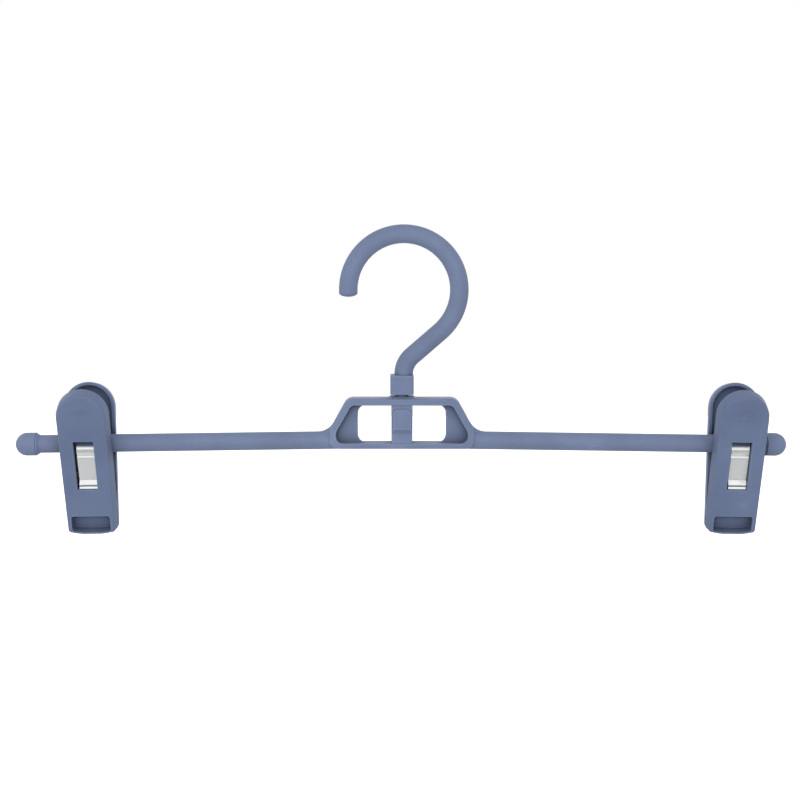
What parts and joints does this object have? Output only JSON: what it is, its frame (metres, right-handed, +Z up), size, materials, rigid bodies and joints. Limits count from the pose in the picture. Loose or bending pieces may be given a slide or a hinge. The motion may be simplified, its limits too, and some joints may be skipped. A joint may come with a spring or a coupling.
{
  "type": "skirt hanger",
  "caption": "Hanger with a swivelling plastic hook, a moulded frame with round bars, and sprung clips that slide along the bars to hold a skirt or trousers by the waistband.",
  "frame": {"origin": "rail seat: the underside of the hook's crown, on the axis that the hook swivels about", "axes": "+X to the right along the bars, +Y away from the viewer, +Z up"},
  "size_m": [0.36, 0.0277, 0.145],
  "materials": {
    "frame_plastic": "fine matt texture, blue-grey",
    "jaw_plastic": "fine matt texture, blue-grey",
    "spring_steel": "bright nickel-plated strip"
  },
  "bodies": {
    "hook": {"hook": "frame_plastic"},
    "frame": {"hanger_frame": "frame_plastic", "left_end_cap": "frame_plastic", "right_end_cap": "frame_plastic"},
    "left_clip": {"left_spring": "spring_steel"},
    "left_front_jaw": {"left_front_jaw": "jaw_plastic"},
    "left_back_jaw": {"left_back_jaw": "jaw_plastic"},
    "right_clip": {"right_spring": "spring_steel"},
    "right_front_jaw": {"right_front_jaw": "jaw_plastic"},
    "right_back_jaw": {"right_back_jaw": "jaw_plastic"}
  },
  "joints": [
    {"name": "hook_swivel", "type": "hinge", "parent": "hook", "child": "frame", "pos_m": [0, 0, -0.07], "axis": [0, 0, 1], "continuous": true},
    {"name": "left_clip_slide", "type": "slide", "parent": "frame", "child": "left_clip", "axis": [0.9999, 0, 0.014], "range_m": [-0.0102, 0.0947]},
    {"name": "left_front_jaw_squeeze", "type": "hinge", "parent": "left_clip", "child": "left_front_jaw", "pos_m": [-0.1463, 0, -0.09297], "axis": [-0.9999, 0, -0.014], "range_deg": [0, 14], "stiffness_Nm_per_rad": 0.35, "springref_deg": -17.19, "deforming": ["left_spring"]},
    {"name": "left_back_jaw_squeeze", "type": "hinge", "parent": "left_clip", "child": "left_back_jaw", "pos_m": [-0.1463, 0, -0.09297], "axis": [0.9999, 0, 0.014], "range_deg": [0, 14], "stiffness_Nm_per_rad": 0.35, "springref_deg": -17.19},
    {"name": "right_clip_slide", "type": "slide", "parent": "frame", "child": "right_clip", "axis": [0.9999, 0, -0.014], "range_m": [-0.1049, 0]},
    {"name": "right_front_jaw_squeeze", "type": "hinge", "parent": "right_clip", "child": "right_front_jaw", "pos_m": [0.1565, 0, -0.09311], "axis": [-0.9999, 0, 0.014], "range_deg": [0, 14], "stiffness_Nm_per_rad": 0.35, "springref_deg": -17.19, "deforming": ["right_spring"]},
    {"name": "right_back_jaw_squeeze", "type": "hinge", "parent": "right_clip", "child": "right_back_jaw", "pos_m": [0.1565, 0, -0.09311], "axis": [0.9999, 0, -0.014], "range_deg": [0, 14], "stiffness_Nm_per_rad": 0.35, "springref_deg": -17.19}
  ],
  "couplings": [
    {"joint": "left_back_jaw_squeeze", "follows": "left_front_jaw_squeeze", "ratio": 1},
    {"joint": "right_back_jaw_squeeze", "follows": "right_front_jaw_squeeze", "ratio": 1}
  ]
}
